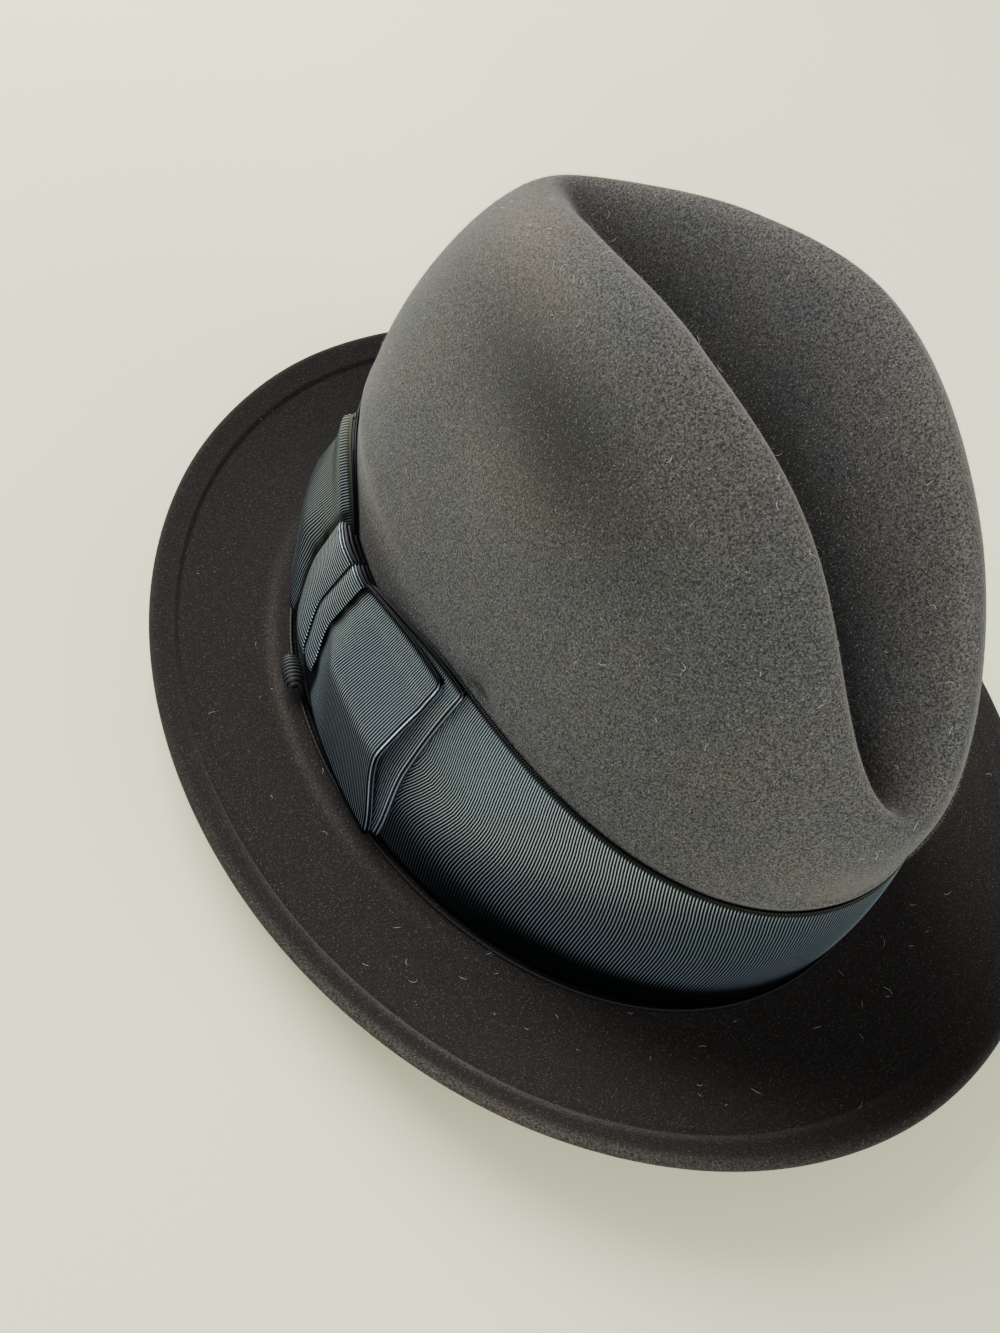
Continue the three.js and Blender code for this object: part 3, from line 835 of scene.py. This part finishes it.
def curled_hairs(rng, count, shortest, longest, radius, segments):
    """Hairs that lie on the felt: arcs of a circle, each a tube of four sides."""
    at, normal, around = scatter(rng, count)
    side = np.cross(normal, around)
    heading = rng.uniform(0, 2 * np.pi, count)
    length = rng.uniform(shortest, longest, count)
    bend = rng.normal(0, 1.3, count)
    t = np.linspace(-0.5, 0.5, segments + 1)[None, :]
    angle = heading[:, None] + bend[:, None] * t * (1 + 1.5 * t)
    step = length[:, None] / segments
    x = np.cumsum(np.cos(angle), 1) * step
    z = np.cumsum(np.sin(angle), 1) * step
    rise = radius * 2 + 0.25 * MM * (4 * t ** 2) * rng.uniform(0, 1, count)[:, None]
    path = (at[:, None] + around[:, None] * x[..., None] + side[:, None] * z[..., None]
            + normal[:, None] * rise[..., None])
    ahead = around[:, None] * np.cos(angle)[..., None] + side[:, None] * np.sin(angle)[..., None]
    across = np.cross(np.broadcast_to(normal[:, None], ahead.shape), ahead)
    a = np.pi / 4 + np.pi / 2 * np.arange(4)
    thin = radius * (1.15 - 1.8 * t ** 2)[..., None, None]
    ring = across[:, :, None] * np.cos(a)[:, None] + normal[:, None, None] * np.sin(a)[:, None]
    points = path[:, :, None] + ring * thin
    one = np.concatenate([grid_quads(segments + 1, 4, True), [[3, 2, 1, 0]],
                          [[4 * segments + k for k in range(4)]]])
    faces = one[None] + (np.arange(count) * 4 * (segments + 1))[:, None, None]
    return points.reshape(-1, 3), faces.reshape(-1, 4)


def nap_spikes(rng, count, shortest, longest, radius):
    """The nap: thin leaning spikes of three sides on a closed base."""
    at, normal, around = scatter(rng, count)
    side = np.cross(normal, around)
    a = rng.uniform(0, 2 * np.pi, count)[:, None]
    tilt = rng.uniform(0.2, 1.1, count)[:, None]
    flat = around * np.cos(a) + side * np.sin(a)
    tip = at + (normal * np.cos(tilt) + flat * np.sin(tilt)) * rng.uniform(shortest, longest, count)[:, None]
    base = at - normal * 0.05 * MM
    turns = 2 * np.pi * np.arange(3) / 3
    ring = around[:, None] * np.cos(turns)[:, None] + side[:, None] * np.sin(turns)[:, None]
    feet = base[:, None] + radius * ring
    points = np.concatenate([feet, tip[:, None]], 1)
    one = np.array([[2, 1, 0], [0, 1, 3], [1, 2, 3], [2, 0, 3]])
    return points.reshape(-1, 3), (one[None] + 4 * np.arange(count)[:, None, None]).reshape(-1, 3)


class HAT_OT_fibres(bpy.types.Operator):
    """Adds the felt's short nap, the pale specks in it and the stray hairs that lie on it"""
    bl_idname = "hat.fibres"
    bl_label = "Fibres"

    def execute(self, context):
        rng = np.random.default_rng(7)
        count, shortest, longest, radius = NAP
        points, faces = nap_spikes(rng, count, shortest * MM, longest * MM, radius * MM)
        finish_piece(make_piece("felt_nap", points, faces), hair_material("nap"), "felt")
        for name, shade, count, shortest, longest, radius, segments in FIBRES:
            points, faces = curled_hairs(rng, count, shortest * MM, longest * MM, radius * MM, segments)
            finish_piece(make_piece(name, points, faces), hair_material(shade), "felt")
        return {"FINISHED"}


# Materials

def new_material(name):
    """A material with its nodes, links and main shader."""
    material = bpy.data.materials.new(name)
    material.use_nodes = True
    shader = material.node_tree.nodes["Principled BSDF"]
    return material, material.node_tree.nodes, material.node_tree.links, shader


def mix(nodes, links, factor, a, b):
    """A mix of two colours or colour sockets, by a factor's socket."""
    node = nodes.new("ShaderNodeMix")
    node.data_type = "RGBA"
    for socket, value in ((node.inputs[0], factor), (node.inputs[6], a), (node.inputs[7], b)):
        if isinstance(value, bpy.types.NodeSocket):
            links.new(value, socket)
        else:
            socket.default_value = (*value, 1.0)
    return node.outputs[2]


def noise(nodes, links, vector, scale, detail=3.0, roughness=0.6):
    node = nodes.new("ShaderNodeTexNoise")
    node.inputs["Scale"].default_value = scale
    node.inputs["Detail"].default_value = detail
    node.inputs["Roughness"].default_value = roughness
    links.new(vector, node.inputs["Vector"])
    return node.outputs["Fac"]


def ramp(nodes, links, value, low, high):
    """A value stretched so that low becomes 0 and high becomes 1."""
    node = nodes.new("ShaderNodeMapRange")
    node.interpolation_type = "SMOOTHSTEP"
    node.inputs["From Min"].default_value = low
    node.inputs["From Max"].default_value = high
    links.new(value, node.inputs["Value"])
    return node.outputs["Result"]


def maths(nodes, links, operation, a, b):
    node = nodes.new("ShaderNodeMath")
    node.operation = operation
    for socket, value in zip(node.inputs, (a, b)):
        if isinstance(value, bpy.types.NodeSocket):
            links.new(value, socket)
        else:
            socket.default_value = value
    return node.outputs[0]


def scaled(nodes, links, value, factor):
    return maths(nodes, links, "MULTIPLY", value, factor)


def mark(nodes, name):
    """A value that make_piece gave to the points under that name."""
    node = nodes.new("ShaderNodeAttribute")
    node.attribute_name = name
    return node.outputs["Fac"]


def felt_material():
    """Brushed fur felt: mottled, flecked with pale fibres, pale where it wears on the brim's edge, with a
    painted highlight on the ridges and the front-left flank, and painted shade in the hollows and over the
    brim.
    """
    material, nodes, links, shader = new_material("brushed_felt")
    c = colours()
    place = nodes.new("ShaderNodeTexCoord").outputs["Object"]
    patches = ramp(nodes, links, noise(nodes, links, place, 26, 5, 0.65), 0.36, 0.62)
    grain = ramp(nodes, links, noise(nodes, links, place, 1900, 4, 0.9), 0.42, 0.58)
    flecks = ramp(nodes, links, noise(nodes, links, place, 2600, 2, 0.5), 0.62, 0.7)
    deep = (0.45 * c.felt_dark[0], 0.5 * c.felt_dark[1], 0.55 * c.felt_dark[2])
    body = mix(nodes, links, patches, tuple(c.felt), tuple(c.felt_warm))
    # Painted shade: the brim's felt is painted darker than the crown's.
    body = mix(nodes, links, mark(nodes, "brim"), body, tuple(c.felt_dark))
    # Pale felt for wear at the brim's edge and for a painted highlight on the ridges and the front-left
    # flank.
    pale_share = scaled(nodes, links, mark(nodes, "wear_and_highlight"), 0.55)
    body = mix(nodes, links, pale_share, body, tuple(c.felt_pale))
    # Painted shade in the hollows, under the band and inside the hat, in a deeper copy of the dark felt.
    in_painted_shade = scaled(nodes, links, mark(nodes, "painted_shade"), 0.66)
    body = mix(nodes, links, in_painted_shade, body, deep)
    speckled = scaled(nodes, links, maths(nodes, links, "SUBTRACT", 1.0, grain), 0.88)
    body = mix(nodes, links, speckled, body, deep)
    pale = maths(nodes, links, "SUBTRACT", 0.38, scaled(nodes, links, mark(nodes, "brim"), 0.2))
    body = mix(nodes, links, maths(nodes, links, "MULTIPLY", flecks, pale), body, tuple(c.fleck))
    links.new(body, shader.inputs["Base Color"])
    shader.inputs["Roughness"].default_value = 0.95
    shader.inputs["Specular IOR Level"].default_value = 0.12
    shader.inputs["Sheen Weight"].default_value = 0.3
    shader.inputs["Sheen Roughness"].default_value = 0.35
    shader.inputs["Sheen Tint"].default_value = (0.55, 0.55, 0.54, 1)
    bump = nodes.new("ShaderNodeBump")
    bump.inputs["Strength"].default_value = 0.6
    bump.inputs["Distance"].default_value = 0.0003
    links.new(noise(nodes, links, place, 1500, 3, 0.7), bump.inputs["Height"])
    links.new(bump.outputs["Normal"], shader.inputs["Normal"])
    return material


def ribbon_material():
    """Grosgrain: smooth crests painted bright over grooves painted near-black, a painted highlight and
    painted shade on one thread.
    """
    if "grosgrain" in bpy.data.materials:
        return bpy.data.materials["grosgrain"]
    material, nodes, links, shader = new_material("grosgrain")
    c = colours()
    place = nodes.new("ShaderNodeTexCoord").outputs["Object"]
    thread = noise(nodes, links, place, 3000, 2, 0.6)
    # Painted highlight and shade: crests in the bright ribbon colour and more metallic, grooves in the
    # near-black ribbon_dark.
    crest = ramp(nodes, links, mark(nodes, "rib"), 0.7, 1.0)
    body = mix(nodes, links, crest, tuple(c.ribbon_dark), tuple(c.ribbon))
    body = mix(nodes, links, scaled(nodes, links, thread, 0.35), body, tuple(c.ribbon_dark))
    links.new(body, shader.inputs["Base Color"])
    links.new(scaled(nodes, links, crest, 0.85), shader.inputs["Metallic"])
    shader.inputs["Roughness"].default_value = 0.28
    shader.inputs["Specular IOR Level"].default_value = 0.08
    bump = nodes.new("ShaderNodeBump")
    bump.inputs["Strength"].default_value = 0.3
    bump.inputs["Distance"].default_value = 0.0001
    links.new(thread, bump.inputs["Height"])
    links.new(bump.outputs["Normal"], shader.inputs["Normal"])
    return material


def hair_material(shade):
    """Plain hair with a dull, rough finish in one of the hat's colours."""
    material, _, _, shader = new_material(shade + "_hair")
    shader.inputs["Base Color"].default_value = (*getattr(colours(), shade), 1)
    shader.inputs["Roughness"].default_value = 0.8
    return material


def cord_material():
    """Dark wrapped thread, flecked paler by a noise, with a painted highlight on the crests of the button's
    ribs.
    """
    if "cord_thread" in bpy.data.materials:
        return bpy.data.materials["cord_thread"]
    material, nodes, links, shader = new_material("cord_thread")
    c = colours()
    place = nodes.new("ShaderNodeTexCoord").outputs["Object"]
    thread = noise(nodes, links, place, 2500, 2, 0.6)
    crest = maths(nodes, links, "MULTIPLY", ramp(nodes, links, mark(nodes, "rib"), 0.5, 1.0), thread)
    links.new(mix(nodes, links, crest, tuple(0.3 * v for v in c.cord), tuple(6 * v for v in c.cord)),
              shader.inputs["Base Color"])
    shader.inputs["Roughness"].default_value = 0.5
    shader.inputs["Specular IOR Level"].default_value = 0.2
    return material


def floor_material():
    material, nodes, links, shader = new_material("pale_floor")
    c = colours()
    place = nodes.new("ShaderNodeTexCoord").outputs["Object"]
    soft = ramp(nodes, links, noise(nodes, links, place, 3, 2), 0.3, 0.7)
    body = mix(nodes, links, soft, tuple(c.floor), tuple(0.96 * v for v in c.floor))
    links.new(body, shader.inputs["Base Color"])
    shader.inputs["Roughness"].default_value = 0.8
    return material


# Stage

class StageSettings(bpy.types.PropertyGroup):
    """Camera."""
    azimuth: share("Azimuth", "Camera's direction from the wearer's left towards the rear, in degrees", 47.65)
    elevation: share("Elevation", "Camera's height angle, in degrees", 53.4)
    roll: share("Roll", "Camera's turn about its view, in degrees", 18.0)
    distance: size("Distance", "Camera's distance from its target", 274.4 * MM)
    target_x: size("Target x", "Camera's target, to the wearer's left", 37.2 * MM)
    target_y: size("Target y", "Camera's target, to the rear", 5.3 * MM)
    target_z: size("Target z", "Camera's target, up", 28.1 * MM)
    focal: share("Focal length", "Focal length as a share of the picture's height", 1001 / 1333)


def area_light(name, place, target, width, power, tint):
    light = bpy.data.lights.new(name, "AREA")
    light.shape = "SQUARE"
    light.size = width
    light.energy = power
    light.color = tint
    lamp = bpy.data.objects.new(name, light)
    bpy.context.scene.collection.objects.link(lamp)
    lamp.location = place
    lamp.rotation_euler = (Vector(target) - Vector(place)).to_track_quat("-Z", "Y").to_euler()


def place_camera(s):
    """Looks from the photo's place at its target, turned about the view by the photo's roll."""
    azimuth, elevation, roll = np.radians(s.azimuth), np.radians(s.elevation), np.radians(s.roll)
    target = np.array([s.target_x, s.target_y, s.target_z])
    flat = np.cos(elevation)
    back = np.array([flat * np.cos(azimuth), flat * np.sin(azimuth), np.sin(elevation)])
    level = unit(np.cross(-back, [0, 0, 1]))
    upright = np.cross(level, -back)
    right = np.cos(roll) * level + np.sin(roll) * upright
    up = -np.sin(roll) * level + np.cos(roll) * upright
    place = target + back * s.distance
    camera = bpy.data.cameras.new("camera")
    camera.sensor_fit = "VERTICAL"
    camera.sensor_height = 36
    camera.lens = 36 * s.focal
    camera.clip_start = 0.01
    eye = bpy.data.objects.new("camera", camera)
    bpy.context.scene.collection.objects.link(eye)
    eye.matrix_world = Matrix([[right[i], up[i], back[i], place[i]] for i in range(3)] + [[0, 0, 0, 1]])
    bpy.context.scene.camera = eye


class HAT_OT_stage(bpy.types.Operator):
    """Lays the pale floor and sets the lights and the camera"""
    bl_idname = "hat.stage"
    bl_label = "Stage"

    def execute(self, context):
        bpy.ops.mesh.primitive_grid_add(x_subdivisions=4, y_subdivisions=4, size=8)
        floor = context.object
        floor.name = "floor"
        floor.data.materials.append(floor_material())

        world = bpy.data.worlds.new("studio")
        world.use_nodes = True
        world.node_tree.nodes["Background"].inputs["Color"].default_value = (1.0, 1.0, 0.96, 1)
        world.node_tree.nodes["Background"].inputs["Strength"].default_value = 0.5
        context.scene.world = world
        for light in LIGHTS:
            area_light(*light)
        place_camera(context.scene.hat_stage)
        return {"FINISHED"}


class HAT_PT_panel(bpy.types.Panel):
    """Lists the steps that dress the hat"""
    bl_idname = "HAT_PT_panel"
    bl_label = "Hat"
    bl_space_type = "VIEW_3D"
    bl_region_type = "UI"
    bl_category = "Hat"

    def draw(self, context):
        for step in STEPS:
            self.layout.operator(step.bl_idname)


STEPS = (HAT_OT_stage, HAT_OT_felt, HAT_OT_band, HAT_OT_bow, HAT_OT_cord, HAT_OT_fibres)
GROUPS = (("hat_felt", FeltSizes), ("hat_ribbon", RibbonSizes), ("hat_colours", HatColours),
          ("hat_stage", StageSettings))


def register():
    for name, group in GROUPS:
        bpy.utils.register_class(group)
        setattr(bpy.types.Scene, name, PointerProperty(type=group))
    for item in (*STEPS, HAT_PT_panel):
        bpy.utils.register_class(item)


def unregister():
    for item in (HAT_PT_panel, *reversed(STEPS)):
        bpy.utils.unregister_class(item)
    for name, group in reversed(GROUPS):
        delattr(bpy.types.Scene, name)
        bpy.utils.unregister_class(group)


def main():
    register()
    bpy.ops.hat.stage()
    bpy.ops.hat.felt()
    bpy.ops.hat.band()
    bpy.ops.hat.bow()
    bpy.ops.hat.cord()
    bpy.ops.hat.fibres()


if __name__ == "__main__":
    main()
